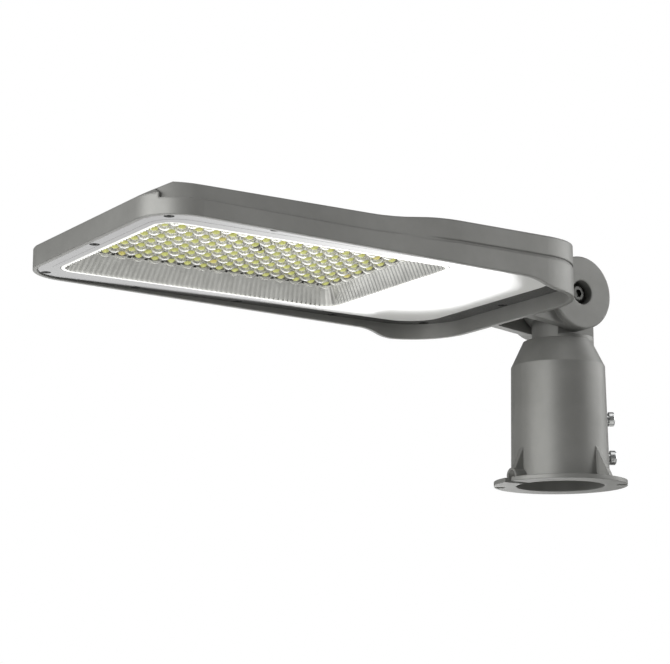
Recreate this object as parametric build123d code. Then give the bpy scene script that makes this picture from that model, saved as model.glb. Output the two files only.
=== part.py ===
from build123d import *
import math
import os

# An LED street light: a slim cast head with a lens window, tilting on a pole adapter.
# Origin at the mouth of the pole socket, +Z up the pole, +X towards the tip of the head.

# Pole socket and sleeve
pole_diameter = 60.0
socket_clearance = 0.5
socket_depth = 72.0
mouth_wall = 3.5
shoulder_wall = 2.2
sleeve_height = 83.0
cone_height = 18.0
cone_top_radius = 24.0
roof_thickness = 5.0

# Flange with its screw holes, cable outlet and gussets
flange_radius = 46.0
flange_thickness = 3.0
flange_hole_radius = 3.5
flange_hole_inset = 4.0
flange_hole_bearings = (135.0, 315.0)
outlet_width = 7.0
outlet_height = 8.0
outlet_wall = 1.6
outlet_setback = 3.0
gusset_bearings = (0.0, 100.0, 260.0)
gusset_height = 24.0
gusset_thickness = 4.0
gusset_setback = 1.5

# Pole set screws
set_screw_radius = 3.0
set_screw_fit = 0.08
set_screw_bearings = (150.0, 210.0)
set_screw_heights = (20.0, 47.0)
set_screw_head_width = 10.0
set_screw_head_height = 4.0
set_screw_standoff = 1.2
set_screw_tip_recess = 0.2

# Tilt knuckle
neck_rise = 3.1
neck_setback = 5.0
lug_radius = 22.0
neck_step = 0.4
lug_half_width = 14.5
friction_washer_thickness = 1.0
friction_washer_radius = 20.0
ear_play = 0.1
ear_thickness = 12.4
ear_step = 5.0
ear_radius = 25.5
arm_inset = 1.0
ear_seat_gap = 2.4
ear_edge_round = 0.8
passage_radius = 6.0
passage_exit_radius = 5.0
passage_exit_drop = 12.0

# Pivot bolt, washers and nut
bolt_radius = 4.0
bolt_running_fit = 0.08
bolt_clearance = 0.2
bolt_head_radius = 7.0
bolt_head_height = 3.8
bolt_socket_radius = 2.9
bolt_socket_depth = 2.0
bolt_washer_thickness = 1.6
bolt_washer_radius = 7.8
nut_width = 13.0
nut_height = 3.8
counterbore_radius = 8.5
counterbore_depth = 9.4

# LED array
led_columns = 16
led_rows = 10
led_pitch_x = 12.0
led_pitch_y = 13.3
chip_size = 5.0
chip_height = 0.7
board_thickness = 1.5
board_tab = 7.5
board_screw_spread = 50.0

# Lens plate and its seal
lens_reach = 9.5
lens_opening_reach = 5.6
lens_thickness = 1.0
lens_air_gap = 0.2
lens_rim = 1.5
lens_corner = 4.0
dome_radius = 5.2
dome_height = 4.0
dome_root = 0.4
lens_seal_thickness = 0.6

# Window and the margins of the head round it
knuckle_reach = 41.0
rear_bay = 99.7
window_rear_reach = 14.3
window_front_reach = 17.4
window_side_reach = 13.65
window_corner = 13.0
front_margin = 14.6
side_margin = 22.5
front_corner = 29.0
rear_corner = 45.0

# Heights of the head, counted from the outer face of the bottom cover
cover_drop = 10.0
cover_thickness = 2.0
panel_thickness = 0.5
front_rim_drop = 0.4
rear_rim_drop = 4.9
skirt_drop = 10.6
skirt_step_near = 33.0
skirt_step_far = 63.0
front_rise = 13.0
front_slope = 11.0
brow_drop = 0.4
brow_inset = 3.0
brow_height = 3.6
roof_rise = 18.4
hump_rise = 5.1
hump_near = 114.0
hump_far = 181.0
roof_crown = 6.5
crease_step_inset = 6.0
crease_rise_front = 9.6
crease_rise_middle = 7.8
crease_rise_rear = 9.9
crease_inset = 1.4
crease_lean = 4.0
groove_depth = 0.8
groove_width = 1.8
groove_fade = 45.0
roof_round = 1.5

# Walls inside the head
wall = 3.0
channel = 6.4
rib = 3.0
channel_depth = 8.0
roof_wall = 2.6
led_wall = 1.5
bay_side_inset = 16.0
fin_count = 11
fin_pitch = 10.0
fin_gap = 6.0
fin_end_inset = 18.0

# Bottom cover, its gloss panel, seal and screws
cover_play = 0.5
cover_seal_thickness = 1.5
cover_seal_play = 0.2
panel_front_inset = 10.4
panel_side_inset = 14.5
panel_rear_inset = 19.3
panel_front_corner = 20.0
panel_rear_corner = 26.0
panel_edge = 0.1
panel_bevel = 0.5
screw_inset = 7.2
side_screws = 3
side_screw_rear = 89.0
side_screw_front = 81.0
screw_radius = 1.5
screw_thread_play = 0.05
screw_hole_play = 0.2
screw_head_radius = 2.9
screw_head_height = 1.2
screw_head_recess = 0.2
screw_head_play = 0.25
screw_bite = 5.0
boss_radius = 4.4

# Fluted reflector frame in the window
frame_wall = 1.5
frame_lip = 3.2
frame_play = 0.25
frame_proud = 0.1
frame_flange = 2.0
frame_flange_thickness = 1.5
frame_top_corner = 6.0

# Control gear in the rear bay
driver_width = 48.0
driver_length = 92.0
driver_height = 18.0
gear_wall_gap = 6.4
gear_side_gap = 4.0
gear_play = 1.0
driver_ear = 6.0
driver_ear_thickness = 2.0
driver_round = 2.0
gear_screw_bite = 2.2
terminal_width = 19.0
terminal_length = 34.0
terminal_height = 15.0
terminal_ways = 3
surge_width = 30.0
surge_length = 34.0
surge_height = 16.0
lead_radius = 1.2
lead_bend = 4.0
lead_pitch = 6.0
lead_lane = 3.5
connector_length = 14.0
connector_height = 3.6
connector_width = 6.0
earth_screw_offset = 60.0

# Cable gland and breather vent in the rear wall
gland_rise = 4.0
gland_radius = 6.0
gland_hole_radius = 3.5
gland_play = 0.2
gland_collar_width = 17.0
gland_collar_length = 5.0
gland_cap_radius = 7.5
gland_cap_length = 3.0
gland_tail = 5.6
gland_nut_width = 15.0
gland_nut_length = 3.6
gland_seal_radius = 5.0
gland_seal_length = 6.0
vent_offset = 45.0
vent_rise = 6.0
vent_radius = 3.0
vent_cap_radius = 5.5
vent_cap_length = 3.0
vent_play = 0.15

# Places worked out from the sizes above
socket_radius = pole_diameter / 2 + socket_clearance
sleeve_mouth_radius = socket_radius + mouth_wall
sleeve_top_radius = socket_radius + shoulder_wall
cone_top = sleeve_height + cone_height
flange_hole_circle = 2 * (flange_radius - flange_hole_inset)
neck_radius = lug_radius - neck_step
pivot_x = 0.0
neck_x = pivot_x - neck_setback
pivot_z = cone_top + neck_rise + ear_seat_gap + ear_radius
ear_inner = lug_half_width + friction_washer_thickness + ear_play
ear_outer = ear_inner + ear_thickness
arm_outer = ear_outer - ear_step
arm_radius = ear_radius - arm_inset
ear_seat_z = pivot_z - ear_radius - ear_seat_gap
bolt_seat = ear_outer - counterbore_depth

head_rear = pivot_x + knuckle_reach
window_rear = head_rear + rear_bay
array_rear = window_rear + window_rear_reach
array_front = array_rear + (led_columns - 1) * led_pitch_x
array_centre = (array_rear + array_front) / 2
array_half = (led_rows - 1) * led_pitch_y / 2
window_front = array_front + window_front_reach
window_half = array_half + window_side_reach
head_front = window_front + front_margin
head_half = window_half + side_margin

cover_face = pivot_z - cover_drop
cover_top = cover_face + cover_thickness
panel_face = cover_face - panel_thickness
front_rim = cover_face - front_rim_drop
rear_rim = cover_face - rear_rim_drop
skirt_edge = cover_face - skirt_drop
front_top = cover_face + front_rise
roof_front = cover_face + roof_rise
roof_rear = roof_front + hump_rise
hump_rear_x = head_rear + hump_near
hump_front_x = head_rear + hump_far
slope_x = head_front - front_slope
crease_x = head_front - crease_step_inset
led_seat = roof_front - led_wall
front_ceiling = front_top - roof_wall
channel_ceiling = cover_top + channel_depth
rib_inset = wall + channel
bay_inset = rib_inset + rib
bay_half = head_half - bay_side_inset
bay_ceiling = roof_rear + roof_crown * (1 - (bay_half / head_half) ** 2) - roof_wall

board_face = led_seat - board_thickness
chip_face = board_face - chip_height
lens_top = chip_face - lens_air_gap
lens_face = lens_top - lens_thickness
frame_top = lens_face - lens_seal_thickness
frame_bottom = panel_face - frame_proud

terminal_rear = head_rear + bay_inset + gear_wall_gap
driver_rear = terminal_rear + terminal_width + lead_radius
driver_front = driver_rear + driver_width
driver_y = gear_side_gap + driver_ear + driver_length / 2 - bay_half
gear_side = bay_half - gear_side_gap - surge_length
bay_corner = rear_corner - bay_inset
bay_corner_side = math.sqrt(bay_corner**2 - (bay_corner - gear_wall_gap) ** 2)
terminal_side = head_half - rear_corner + bay_corner_side - gear_play - terminal_length
gland_z = pivot_z + gland_rise
gland_tip = head_rear + bay_inset + gland_tail
wire_z = bay_ceiling - terminal_height / 2

# Room beyond the model for cutting tools
beyond = 20.0


def rounded(rear, front, half_width, front_radius, rear_radius):
    """A plan outline with its own corner radius at each end."""
    shape = Pos((rear + front) / 2, 0) * Rectangle(front - rear, 2 * half_width)
    shape = fillet(shape.vertices().group_by(Axis.X)[-1], front_radius)
    return fillet(shape.vertices().group_by(Axis.X)[0], rear_radius)


def head_plan(inset):
    """The head's outline in plan, drawn in by an inset."""
    return rounded(
        head_rear + inset,
        head_front - inset,
        head_half - inset,
        front_corner - inset,
        rear_corner - inset,
    )


def window_plan(grow):
    """The window's outline, grown by an amount."""
    return rounded(
        window_rear - grow,
        window_front + grow,
        window_half + grow,
        window_corner + grow,
        window_corner + grow,
    )


def array_plan(reach, corner):
    """A rounded rectangle that reaches past the outermost LED centres."""
    return rounded(array_rear - reach, array_front + reach, array_half + reach, corner, corner)


def slab(shape, low, high):
    """A plan outline stood up between two heights."""
    return extrude(Pos(0, 0, low) * shape, amount=high - low)


def block(x0, x1, y0, y1, z0, z1):
    """A box between its corner values."""
    return Pos((x0 + x1) / 2, (y0 + y1) / 2, (z0 + z1) / 2) * Box(x1 - x0, y1 - y0, z1 - z0)


def side_body(curve, half_width):
    """A side-view outline, drawn in X and Z, given a width across Y."""
    return extrude(Plane.XZ * make_face(curve), amount=half_width, both=True)


def rod_x(x0, x1, y, z, radius):
    """A round bar along X."""
    return Pos((x0 + x1) / 2, y, z) * Rot(0, 90, 0) * Cylinder(radius, x1 - x0)


def rod_y(y0, y1, x, z, radius):
    """A round bar along Y."""
    return Pos(x, (y0 + y1) / 2, z) * Rot(90, 0, 0) * Cylinder(radius, y1 - y0)


def rod_z(z0, z1, x, y, radius):
    """A round bar along Z."""
    return Pos(x, y, (z0 + z1) / 2) * Cylinder(radius, z1 - z0)


def hex_x(x0, x1, y, z, width):
    """A hexagon bar along X, with its width across the flats."""
    face = Plane.YZ.offset(x0) * Pos(y, z) * RegularPolygon(width / 2, 6, major_radius=False)
    return extrude(face, amount=x1 - x0)


def lap_curve(x0, z0, x1, z1):
    """A step between two levels as a pair of arcs, level at both ends."""
    middle = ((x0 + x1) / 2, (z0 + z1) / 2)
    first = TangentArc((x0, z0), middle, tangent=(1, 0))
    second = TangentArc((x1, z1), middle, tangent=(-1, 0))
    return first + second


def save(node, shape):
    """Write one piece to its own file."""
    export_step(shape, f"parts/{node}.step")


# Pole adapter


def pole_adapter():
    """Cast sleeve over the pole, with a cone, a neck with the tilt lug, and a flange."""
    outside = Polyline(
        (0, 0),
        (sleeve_mouth_radius, 0),
        (sleeve_top_radius, sleeve_height),
        (cone_top_radius, cone_top),
        (0, cone_top),
        close=True,
    )
    body = revolve(Plane.XZ * make_face(outside), Axis.Z)
    body += rod_z(0, flange_thickness, 0, 0, flange_radius)
    neck = rod_z(sleeve_height, pivot_z, neck_x, 0, neck_radius)
    flats = block(-beyond * 2, beyond * 2, lug_half_width, beyond * 2, ear_seat_z, pivot_z + beyond)
    heel = Polyline(
        (neck_x - neck_radius, ear_seat_z),
        (pivot_x - neck_radius, pivot_z),
        (pivot_x - neck_radius, pivot_z + beyond),
        (neck_x - neck_radius - beyond, pivot_z + beyond),
        (neck_x - neck_radius - beyond, ear_seat_z),
        close=True,
    )
    neck -= side_body(heel, lug_radius + beyond)
    neck -= flats
    neck -= mirror(flats, Plane.XZ)
    body += neck
    body += rod_y(-lug_half_width, lug_half_width, pivot_x, pivot_z, lug_radius)

    gusset_root = (socket_radius + sleeve_mouth_radius) / 2
    gusset_foot = flange_radius - gusset_setback
    gusset = Polyline(
        (gusset_root, 0),
        (gusset_foot, 0),
        (gusset_foot, flange_thickness),
        (gusset_root, flange_thickness + gusset_height),
        close=True,
    )
    for bearing in gusset_bearings:
        body += Rot(0, 0, bearing) * side_body(gusset, gusset_thickness / 2)

    outlet_end = flange_radius - outlet_setback
    body += outlet_arch(gusset_root, outlet_end, outlet_width / 2 + outlet_wall, outlet_height + outlet_wall, 0)
    body -= outlet_arch(0, flange_radius + beyond, outlet_width / 2, outlet_height, -beyond)

    inside = Polyline(
        (0, -beyond),
        (socket_radius, -beyond),
        (socket_radius, socket_depth),
        (cone_top_radius - roof_thickness, cone_top - roof_thickness),
        (passage_radius, cone_top - roof_thickness),
        (passage_radius, pivot_z - passage_exit_drop),
        (0, pivot_z - passage_exit_drop),
        close=True,
    )
    body -= revolve(Plane.XZ * make_face(inside), Axis.Z)
    body -= rod_x(0, neck_radius + beyond, 0, pivot_z - passage_exit_drop, passage_exit_radius)
    body -= rod_y(-lug_half_width - 1, lug_half_width + 1, pivot_x, pivot_z, bolt_radius + bolt_running_fit)

    for bearing in flange_hole_bearings:
        hole = rod_z(-1, flange_thickness + 1, flange_hole_circle / 2, 0, flange_hole_radius)
        body -= Rot(0, 0, bearing) * hole
    for bearing in set_screw_bearings:
        for height in set_screw_heights:
            hole = rod_x(0, flange_radius, 0, height, set_screw_radius + set_screw_fit)
            body -= Rot(0, 0, bearing) * hole
    return body


def outlet_arch(x0, x1, half_width, height, foot):
    """A round-topped tunnel along X for the supply cable."""
    straight = block(x0, x1, -half_width, half_width, foot, height - half_width)
    return straight + rod_x(x0, x1, 0, height - half_width, half_width)


def sleeve_radius_at(height):
    """Outside radius of the tapered sleeve at a height."""
    return sleeve_mouth_radius + (sleeve_top_radius - sleeve_mouth_radius) * height / sleeve_height


def set_screw(bearing, height):
    """Hex screw that clamps the pole, standing a little out of its thread."""
    seat = sleeve_radius_at(height) + set_screw_standoff
    shank = rod_x(socket_radius + set_screw_tip_recess, seat, 0, height, set_screw_radius)
    head = hex_x(seat, seat + set_screw_head_height, 0, height, set_screw_head_width)
    crown = rod_x(seat, seat + set_screw_head_height, 0, height, set_screw_head_width / 2)
    crown = chamfer(crown.edges().sort_by(Axis.X)[-1], set_screw_head_height / 6)
    return Rot(0, 0, bearing) * (shank + (head & crown))


# Tilt joint hardware


def friction_washers():
    """Fibre washers between the lug and the two ears."""
    outer = lug_half_width + friction_washer_thickness
    ring = rod_y(lug_half_width, outer, pivot_x, pivot_z, friction_washer_radius)
    bore = rod_y(lug_half_width - 1, ear_outer, pivot_x, pivot_z, bolt_radius + bolt_clearance)
    washer = ring - bore
    return Compound([washer.solid(), mirror(washer, Plane.XZ).solid()])


def pivot_washers():
    """Steel washers under the bolt head and the nut."""
    ring = rod_y(bolt_seat, bolt_seat + bolt_washer_thickness, pivot_x, pivot_z, bolt_washer_radius)
    bore = rod_y(bolt_seat - 1, ear_outer, pivot_x, pivot_z, bolt_radius + bolt_clearance)
    washer = ring - bore
    return Compound([washer.solid(), mirror(washer, Plane.XZ).solid()])


def pivot_bolt():
    """Dome-headed bolt that the head turns on."""
    under_head = bolt_seat + bolt_washer_thickness
    shank = rod_y(-under_head - nut_height, under_head, pivot_x, pivot_z, bolt_radius)
    head = rod_y(under_head, under_head + bolt_head_height, pivot_x, pivot_z, bolt_head_radius)
    head = fillet(head.edges().sort_by(Axis.Y)[-1], bolt_head_height * 0.7)
    top = under_head + bolt_head_height
    key_face = Plane.XZ.offset(-top) * Pos(pivot_x, pivot_z) * RegularPolygon(bolt_socket_radius, 6)
    return shank + head - extrude(key_face, amount=bolt_socket_depth)


def pivot_nut():
    """Thin hex nut on the far end of the pivot bolt."""
    seat = -bolt_seat - bolt_washer_thickness
    face = Plane.XZ.offset(-seat) * Pos(pivot_x, pivot_z) * RegularPolygon(nut_width / 2, 6, major_radius=False)
    nut = extrude(face, amount=nut_height)
    return nut - rod_y(seat - nut_height - 1, seat + 1, pivot_x, pivot_z, bolt_radius)


# Head casting


def roof_body():
    """Everything under the crowned roof, with the step up to the rear hump."""
    half = head_half + beyond
    crown_radius = (head_half**2 + roof_crown**2) / (2 * roof_crown)
    fall = crown_radius - math.sqrt(crown_radius**2 - half**2) - roof_crown
    foot = skirt_edge - beyond - roof_rear
    arc = ThreePointArc((-half, -fall), (0, roof_crown), (half, -fall))
    sides = Polyline((half, -fall), (half, foot), (-half, foot), (-half, -fall))
    start = head_rear - 2 * beyond
    route = Line((start, roof_rear), (hump_rear_x, roof_rear))
    route += lap_curve(hump_rear_x, roof_rear, hump_front_x, roof_front)
    route += Line((hump_front_x, roof_front), (head_front + beyond, roof_front))
    section = Plane.YZ.offset(start) * Pos(0, roof_rear) * make_face(arc + sides)
    return sweep(section, path=Plane.XZ * route)


def rim_body():
    """Everything above the rim's lower edge, with the step down to the rear skirt."""
    step_low = head_rear + skirt_step_near
    step_high = head_rear + skirt_step_far
    sky = roof_rear + roof_crown + beyond
    back = head_rear - 2 * beyond
    front = head_front + beyond
    edge = Line((back, skirt_edge), (step_low, skirt_edge))
    edge += lap_curve(step_low, skirt_edge, step_high, rear_rim)
    edge += Polyline((step_high, rear_rim), (head_front, front_rim), (front, front_rim))
    edge += Polyline((front, front_rim), (front, sky), (back, sky), (back, skirt_edge))
    return side_body(edge, head_half + beyond)


def crease_cut():
    """Set-back upper wall that leans in round the front corner and runs out at the hump."""
    low = cover_face + crease_rise_middle - 1
    sky = roof_rear + 1
    turn_x = head_front - front_corner
    turn_y = head_half - front_corner
    end = hump_rear_x
    above = Polyline(
        (crease_x, cover_face + crease_rise_front),
        (crease_x, sky + beyond),
        (end, sky + beyond),
        (end, cover_face + crease_rise_rear),
        (hump_front_x, cover_face + crease_rise_middle),
        close=True,
    )
    root = front_corner - crease_inset
    tip = root - crease_lean
    cone = Pos(turn_x, turn_y, (low + sky) / 2) * Cone(root, tip, sky - low)
    corner = block(turn_x, head_front + 1, turn_y, head_half + beyond, low, sky) - cone
    outside = head_half + beyond
    deep = Polyline(
        (turn_y + root, low),
        (turn_y + tip, sky),
        (outside, sky),
        (outside, low),
        close=True,
    )
    flat = Polyline((head_half, low), (head_half, sky), (outside, sky), (outside, low), close=True)
    faces = [Plane.YZ.offset(turn_x) * make_face(deep), Plane.YZ.offset(end) * make_face(flat)]
    wedge = loft([face.face() for face in faces], ruled=True)
    cut = (corner + wedge) & side_body(above, head_half + 2 * beyond)
    return cut + mirror(cut, Plane.XZ)


def groove_cut():
    """Fine groove round the rear of the head that carries the crease on and fades out along it."""
    low = cover_face + crease_rise_rear - groove_width / 2
    ring = slab(head_plan(-1), low, low + groove_width) - slab(head_plan(groove_depth), low, low + groove_width)
    reach = head_half + beyond
    cut = ring & block(head_rear - beyond, hump_rear_x, -reach, reach, low, low + beyond)
    fall = (crease_rise_rear - crease_rise_middle) * groove_fade / (hump_front_x - hump_rear_x)
    fade_x = hump_rear_x + groove_fade
    band = Polyline(
        (hump_rear_x, low),
        (fade_x, low - fall),
        (fade_x, low - fall + groove_width),
        (hump_rear_x, low + groove_width),
        close=True,
    )
    wedge = Polyline(
        (hump_rear_x, head_half - groove_depth),
        (fade_x, head_half),
        (fade_x, head_half + 1),
        (hump_rear_x, head_half + 1),
        close=True,
    )
    fade = slab(make_face(wedge), low - beyond, low + beyond) & side_body(band, reach)
    return cut + fade + mirror(fade, Plane.XZ)


def front_slope_cut():
    """Sloping front of the roof, down to the top of the front wall."""
    sky = roof_rear + roof_crown + beyond
    slope = (roof_front - front_top) / front_slope
    front = head_front + beyond
    back = head_front - (sky - front_top) / slope
    over = Polyline(
        (front, front_top - slope * beyond),
        (front, sky),
        (back, sky),
        close=True,
    )
    return side_body(over, head_half + beyond)


def brow_cut():
    """Chamfer along the top of the front wall, as far as the step of the crease."""
    low = front_top - brow_drop
    high = low + brow_height
    foot = Pos(0, 0, low) * head_plan(0)
    head = Pos(0, 0, high) * head_plan(brow_inset)
    reach = head_half + beyond
    front = block(crease_x, head_front + beyond, -reach, reach, low, high)
    return front - loft([foot.face(), head.face()], ruled=True)


def fin_cut():
    """Grooves between the cooling fins over the LED board."""
    floor = led_seat + roof_wall
    rear = hump_front_x + fin_end_inset / 2
    front = slope_x - fin_end_inset
    gaps = []
    for index in range(fin_count):
        y = (index - (fin_count - 1) / 2) * fin_pitch
        shape = Pos((rear + front) / 2, y) * SlotOverall(front - rear, fin_gap)
        gaps.append(slab(shape, floor, floor + roof_crown + beyond))
    return gaps


def disc_tangent(point, side):
    """Where a straight line from a point touches the round end of the ear's arm."""
    dx = point[0] - pivot_x
    dz = point[1] - pivot_z
    turn = math.atan2(dz, dx) + side * math.acos(arm_radius / math.hypot(dx, dz))
    return (pivot_x + arm_radius * math.cos(turn), pivot_z + arm_radius * math.sin(turn))


def ear():
    """One tilt ear: an arm from the rear wall, with a proud disc round the pivot."""
    root = head_rear + wall
    low = (root, skirt_edge + ear_edge_round)
    high = (head_rear + bay_inset, roof_rear + roof_crown / 2)
    start = disc_tangent(low, -1)
    end = disc_tangent(high, 1)
    outline = Polyline(start, low, (root, roof_rear), high, end)
    outline += ThreePointArc(end, (pivot_x - arm_radius, pivot_z), start)
    body = extrude(Plane.XZ.offset(-arm_outer) * make_face(outline), amount=ear_thickness - ear_step)
    disc = rod_y(ear_inner, ear_outer, pivot_x, pivot_z, ear_radius)
    body += fillet(disc.edges().sort_by(Axis.Y)[-1], ear_edge_round)
    body -= rod_y(bolt_seat, ear_outer + 1, pivot_x, pivot_z, counterbore_radius)
    return body - rod_y(0, ear_outer, pivot_x, pivot_z, bolt_radius + bolt_clearance)


def screw_places():
    """Plan positions of the cover screws, just inside the rim."""
    side = head_half - screw_inset
    rear_arc = (rear_corner - screw_inset) * math.sqrt(0.5)
    front_arc = (front_corner - screw_inset) * math.sqrt(0.5)
    first = head_rear + side_screw_rear
    last = head_front - side_screw_front
    places = [(head_front - screw_inset, 0), (head_rear + screw_inset, 0)]
    for hand in (-1, 1):
        places.append((head_front - front_corner + front_arc, hand * (head_half - front_corner + front_arc)))
        places.append((head_rear + rear_corner - rear_arc, hand * (head_half - rear_corner + rear_arc)))
        for index in range(side_screws):
            places.append((first + (last - first) * index / (side_screws - 1), hand * side))
    return places


def housing():
    """Cast head: rim, skirt, crowned roof with fins, tilt ears and inner walls."""
    low = skirt_edge - 1
    high = roof_rear + roof_crown + beyond
    body = slab(head_plan(0), low, high) & roof_body() & rim_body()
    core = slab(head_plan(groove_depth), low, high)
    upper = [edge for edge in body.edges() if (edge @ 0.5).Z > front_top and abs((edge % 0.5).Z) < 0.9]
    body = fillet([edge for edge in upper if not core.solid().is_inside(edge @ 0.5)], roof_round)
    body -= front_slope_cut()
    body -= brow_cut()
    body -= crease_cut()
    body -= groove_cut()
    body -= fin_cut()

    body -= slab(head_plan(wall), low - 1, cover_top)
    body -= slab(head_plan(wall), cover_top - 1, channel_ceiling) - slab(
        head_plan(rib_inset), cover_top - 2, channel_ceiling + 1
    )
    body -= slab(head_plan(rib_inset), cover_top - 1, cover_top + cover_seal_thickness)
    interior = slab(head_plan(bay_inset), cover_top - 1, led_seat)
    body -= interior & block(head_rear, slope_x, -head_half, head_half, low, high)
    body -= slab(head_plan(bay_inset), cover_top - 1, front_ceiling)
    bay_front = driver_front + gear_play
    bay = block(head_rear + bay_inset, bay_front, -bay_half, bay_half, cover_top, bay_ceiling)
    body -= bay & slab(head_plan(bay_inset), cover_top - 1, high)

    ring = slab(head_plan(wall / 2), cover_top, channel_ceiling + 1)
    ring -= slab(head_plan(rib_inset), cover_top - 1, channel_ceiling + 2)
    for x, y in screw_places():
        body += rod_z(cover_top, channel_ceiling + 1, x, y, boss_radius) & ring
    for hand in (-1, 1):
        body += ear() if hand > 0 else mirror(ear(), Plane.XZ)
    shelf = head_rear + bay_inset
    lug = gland_collar_width / 2
    body += block(head_rear + wall / 2, shelf, -lug, lug, cover_top + cover_seal_thickness, channel_ceiling + 1)

    for x, y in screw_places():
        body -= rod_z(cover_top - 1, cover_top + screw_bite, x, y, screw_radius + screw_thread_play)
    body -= rod_x(head_rear - 1, shelf + 1, 0, gland_z, gland_radius + gland_play)
    body -= rod_x(head_rear - 1, shelf + 1, vent_offset, pivot_z + vent_rise, vent_radius + vent_play)
    for x, y in board_screw_places() + [(array_centre, 0)]:
        body -= rod_z(led_seat - 1, led_seat + gear_screw_bite, x, y, screw_radius + screw_thread_play)
    for x, y in driver_screw_places() + [earth_place()]:
        body -= rod_z(bay_ceiling - 1, bay_ceiling + gear_screw_bite, x, y, screw_radius + screw_thread_play)
    return body


# Bottom cover and window


def bottom_cover():
    """Flat cover inside the rim, with the window and recessed screw holes."""
    body = slab(head_plan(wall + cover_play), cover_face, cover_top)
    body -= slab(window_plan(0), cover_face - 1, cover_top + 1)
    for x, y in screw_places():
        body -= rod_z(cover_face - 1, cover_top + 1, x, y, screw_radius + screw_hole_play)
        recess = cover_face + screw_head_height + screw_head_recess
        body -= rod_z(cover_face - 1, recess, x, y, screw_head_radius + screw_head_play)
    return body


def panel_plan(inset):
    """The outline of the panel under the cover, drawn in by an inset."""
    return rounded(
        head_rear + panel_rear_inset + inset,
        head_front - panel_front_inset - inset,
        head_half - panel_side_inset - inset,
        panel_front_corner - inset,
        panel_rear_corner - inset,
    )


def cover_panel():
    """Glossy panel bonded under the cover, round the window and the gear bay, with a bevelled edge."""
    bevel_top = cover_face - panel_edge
    body = slab(panel_plan(0), bevel_top, cover_face)
    foot = Pos(0, 0, panel_face) * panel_plan(panel_bevel)
    body += loft([foot.face(), (Pos(0, 0, bevel_top) * panel_plan(0)).face()], ruled=True)
    return body - slab(window_plan(0), panel_face - 1, cover_face + 1)


def cover_gasket():
    """Silicone seal between the inner rib and the cover."""
    low = cover_top
    high = cover_top + cover_seal_thickness
    outer = slab(head_plan(rib_inset + cover_seal_play), low, high)
    return outer - slab(head_plan(bay_inset - cover_seal_play), low - 1, high + 1)


def cover_screws():
    """Dark cover screws, one solid each."""
    screws = []
    for x, y in screw_places():
        under = cover_face + screw_head_height + screw_head_recess
        head = rod_z(under - screw_head_height, under, x, y, screw_head_radius)
        screws.append((head + rod_z(under, cover_top + screw_bite, x, y, screw_radius)).solid())
    return Compound(screws)


def frame_shell(grow, low, high):
    """Sloping body from the window's edge up to the lens plate, grown by a wall."""
    foot = Pos(0, 0, low) * window_plan(grow - frame_lip)
    head = Pos(0, 0, high) * array_plan(lens_opening_reach + grow, frame_top_corner + grow)
    return loft([foot.face(), head.face()])


def reflector_frame():
    """Bright frame that lines the window and presses on the lens seal."""
    body = frame_shell(frame_wall - frame_play, frame_bottom, frame_top)
    body += slab(window_plan(frame_flange), cover_top, cover_top + frame_flange_thickness)
    body &= slab(window_plan(frame_flange), cover_top, frame_top) + slab(
        window_plan(-frame_play), frame_bottom, cover_top
    )
    return body - frame_shell(0, frame_bottom, frame_top)


# LED module


def led_places():
    """Plan positions of the LED chips."""
    places = []
    for column in range(led_columns):
        for row in range(led_rows):
            places.append((array_rear + column * led_pitch_x, row * led_pitch_y - array_half))
    return places


def board_screw_places():
    """Screws in the tab at the rear of the board."""
    x = array_rear - lens_reach - board_tab / 2
    return [(x, -board_screw_spread), (x, board_screw_spread)]


def led_board():
    """Aluminium circuit board on its seat under the roof."""
    half = array_half + lens_reach
    front = array_front + lens_reach
    rear = array_rear - lens_reach - board_tab
    body = slab(rounded(rear, front, half, lens_corner, lens_corner), board_face, led_seat)
    for x, y in board_screw_places() + [(array_centre, 0)]:
        body -= rod_z(board_face - 1, led_seat + 1, x, y, screw_radius + screw_hole_play)
    return body


def led_chips():
    """LED packages under the board, one solid each."""
    half = chip_size / 2
    return Compound(
        [block(x - half, x + half, y - half, y + half, chip_face, board_face).solid() for x, y in led_places()]
    )


def lens_array():
    """Clear plate with a dome under each LED, standing on a rim against the board."""
    body = slab(array_plan(lens_reach, lens_corner), lens_face, board_face)
    body -= slab(array_plan(lens_reach - lens_rim, lens_corner - lens_rim), lens_top, board_face + 1)
    cap_radius = (dome_radius**2 + dome_height**2) / (2 * dome_height)
    ball = Pos(0, 0, lens_face - dome_height + cap_radius) * Sphere(cap_radius)
    reach = 2 * dome_radius
    dome = ball & block(-reach, reach, -reach, reach, lens_face - 2 * dome_height, lens_face + dome_root)
    body += [Pos(x, y, 0) * dome for x, y in led_places()]
    return body - rod_z(lens_face - 1, board_face, array_centre, 0, screw_radius + screw_hole_play)


def lens_gasket():
    """Black seal between the frame and the lens plate."""
    ring = slab(array_plan(lens_reach, lens_corner), frame_top, lens_face)
    return ring - slab(array_plan(lens_opening_reach, frame_top_corner), frame_top - 1, lens_face + 1)


def roof_screw(x, y, under, seat):
    """Small pan-head screw driven up into the roof."""
    head = rod_z(under - screw_head_height, under, x, y, screw_head_radius)
    return (head + rod_z(under, seat + gear_screw_bite, x, y, screw_radius)).solid()


def board_screws():
    """Two screws in the tab of the board."""
    return Compound([roof_screw(x, y, board_face, led_seat) for x, y in board_screw_places()])


def led_connector():
    """Wire connector on the tab of the board."""
    front = array_rear - lens_reach - screw_hole_play
    half = connector_length / 2
    return block(front - connector_width, front, -half, half, board_face - connector_height, board_face)


# Control gear


def driver_screw_places():
    """Screws in the two end ears of the driver."""
    x = (driver_rear + driver_front) / 2
    reach = (driver_length + driver_ear) / 2
    return [(x, driver_y - reach), (x, driver_y + reach)]


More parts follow.
